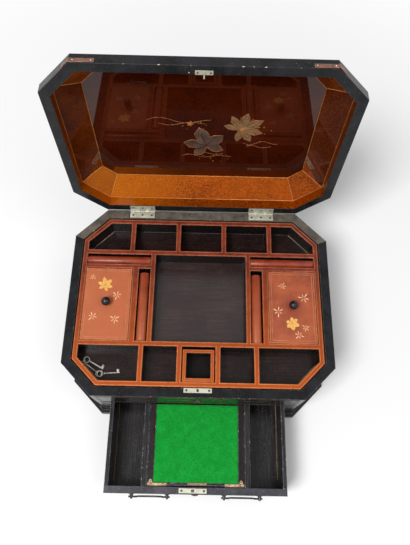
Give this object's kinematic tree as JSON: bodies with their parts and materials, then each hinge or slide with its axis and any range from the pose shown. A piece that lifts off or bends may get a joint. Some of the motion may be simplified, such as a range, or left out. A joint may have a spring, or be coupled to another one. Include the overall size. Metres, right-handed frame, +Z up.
{
  "type": "lacquered work and writing box",
  "caption": "Eight-sided lacquered work box with a hinged bevelled lid, a lift-out tray of compartments and a front drawer with a baize writing flap.",
  "frame": {"origin": "centre of the plinth's flat underside", "axes": "+X to the right seen from the front, +Y to the back, +Z up"},
  "size_m": [0.397, 0.476, 0.4165],
  "materials": {
    "black_lacquer": "gloss",
    "dark_wood": "satin",
    "red_lacquer": "gloss",
    "lid_red_lacquer": "gloss",
    "ebony": "polished",
    "baize": "napped",
    "silver_metal": "brushed",
    "steel": "worn",
    "brass": "worn",
    "copper": "worn"
  },
  "bodies": {
    "case": {"plinth": "black_lacquer", "bottom_board": "black_lacquer", "front_rail": "black_lacquer", "front_corner_left": "black_lacquer", "front_corner_right": "black_lacquer", "back_corner_left": "black_lacquer", "back_corner_right": "black_lacquer", "back_board": "black_lacquer", "left_board": "black_lacquer", "right_board": "black_lacquer", "dust_board": "dark_wood", "tray_ledge": "dark_wood", "drawer_guide_left": "dark_wood", "drawer_guide_right": "dark_wood", "lid_lock": "silver_metal", "front_escutcheon": "silver_metal", "hinge_case_leaf_left": "silver_metal", "hinge_case_leaf_right": "silver_metal", "hinge_pin_left": "steel", "hinge_pin_right": "steel"},
    "lid_bolt": {"lid_lock_bolt": "brass"},
    "lid": {"lid_rim": "black_lacquer", "lid_bevel": "black_lacquer", "lid_panel": "lid_red_lacquer", "hinge_lid_leaf_left": "silver_metal", "hinge_lid_leaf_right": "silver_metal", "lid_link_plate": "silver_metal", "corner_strap_left": "copper", "corner_strap_right": "copper"},
    "tray": {"tray_floor": "dark_wood", "tray_frame": "red_lacquer", "tray_back_dividers": "red_lacquer", "tray_front_dividers": "red_lacquer", "tray_side_dividers_left": "red_lacquer", "tray_side_dividers_right": "red_lacquer"},
    "loose_box": {"small_box": "red_lacquer"},
    "left_box_lid": {"box_lid_left": "red_lacquer", "box_knob_left": "ebony"},
    "right_box_lid": {"box_lid_right": "red_lacquer", "box_knob_right": "ebony"},
    "back_left_case": {"needle_case_back_left": "red_lacquer"},
    "back_right_case": {"needle_case_back_right": "red_lacquer"},
    "side_left_case": {"needle_case_side_left": "red_lacquer"},
    "side_right_case": {"needle_case_side_right": "red_lacquer"},
    "left_key": {"key_left": "steel"},
    "right_key": {"key_right": "steel"},
    "drawer": {"drawer_front": "black_lacquer", "drawer_back": "dark_wood", "drawer_bottom": "dark_wood", "drawer_side_left": "dark_wood", "drawer_side_right": "dark_wood", "drawer_partition_left": "dark_wood", "drawer_partition_right": "dark_wood", "drawer_lock": "silver_metal", "flap_rod": "brass"},
    "drawer_bolt": {"drawer_lock_bolt": "brass"},
    "flap": {"writing_flap": "dark_wood", "writing_flap_baize": "baize"},
    "left_bail": {"bail_left": "silver_metal"},
    "right_bail": {"bail_right": "silver_metal"}
  },
  "joints": [
    {"name": "lid_hinge", "type": "hinge", "parent": "case", "child": "lid", "pos_m": [0, 0.1416, 0.1342], "axis": [-1, 0, 0], "range_deg": [-94.8, 0]},
    {"name": "lid_bolt_slide", "type": "slide", "parent": "case", "child": "lid_bolt", "axis": [1, 0, 0], "range_m": [0, 0.0035]},
    {"name": "tray_lift", "type": "slide", "parent": "case", "child": "tray", "axis": [0, 0, 1], "range_m": [0, 0.08]},
    {"name": "loose_box_lift", "type": "slide", "parent": "tray", "child": "loose_box", "axis": [0, 0, 1], "range_m": [0, 0.04]},
    {"name": "left_box_lid_lift", "type": "slide", "parent": "tray", "child": "left_box_lid", "axis": [0, 0, 1], "range_m": [0, 0.04]},
    {"name": "right_box_lid_lift", "type": "slide", "parent": "tray", "child": "right_box_lid", "axis": [0, 0, 1], "range_m": [0, 0.04]},
    {"name": "back_left_case_lift", "type": "slide", "parent": "tray", "child": "back_left_case", "axis": [0, 0, 1], "range_m": [0, 0.04]},
    {"name": "back_right_case_lift", "type": "slide", "parent": "tray", "child": "back_right_case", "axis": [0, 0, 1], "range_m": [0, 0.04]},
    {"name": "side_left_case_lift", "type": "slide", "parent": "tray", "child": "side_left_case", "axis": [0, 0, 1], "range_m": [0, 0.04]},
    {"name": "side_right_case_lift", "type": "slide", "parent": "tray", "child": "side_right_case", "axis": [0, 0, 1], "range_m": [0, 0.04]},
    {"name": "left_key_lift", "type": "slide", "parent": "tray", "child": "left_key", "axis": [0, 0, 1], "range_m": [0, 0.04]},
    {"name": "right_key_lift", "type": "slide", "parent": "tray", "child": "right_key", "axis": [0, 0, 1], "range_m": [0, 0.04]},
    {"name": "drawer_slide", "type": "slide", "parent": "case", "child": "drawer", "axis": [0, -1, 0], "range_m": [-0.1218, 0.07]},
    {"name": "drawer_bolt_slide", "type": "slide", "parent": "drawer", "child": "drawer_bolt", "axis": [0, 0, 1], "range_m": [0, 0.0035]},
    {"name": "flap_hinge", "type": "hinge", "parent": "drawer", "child": "flap", "pos_m": [0, -0.2507, 0.072], "axis": [1, 0, 0], "range_deg": [0, 75]},
    {"name": "left_bail_swing", "type": "hinge", "parent": "drawer", "child": "left_bail", "pos_m": [-0.065, -0.267, 0.0563], "axis": [-1, 0, 0], "range_deg": [0, 85]},
    {"name": "right_bail_swing", "type": "hinge", "parent": "drawer", "child": "right_bail", "pos_m": [0.065, -0.267, 0.0563], "axis": [-1, 0, 0], "range_deg": [0, 85]}
  ]
}
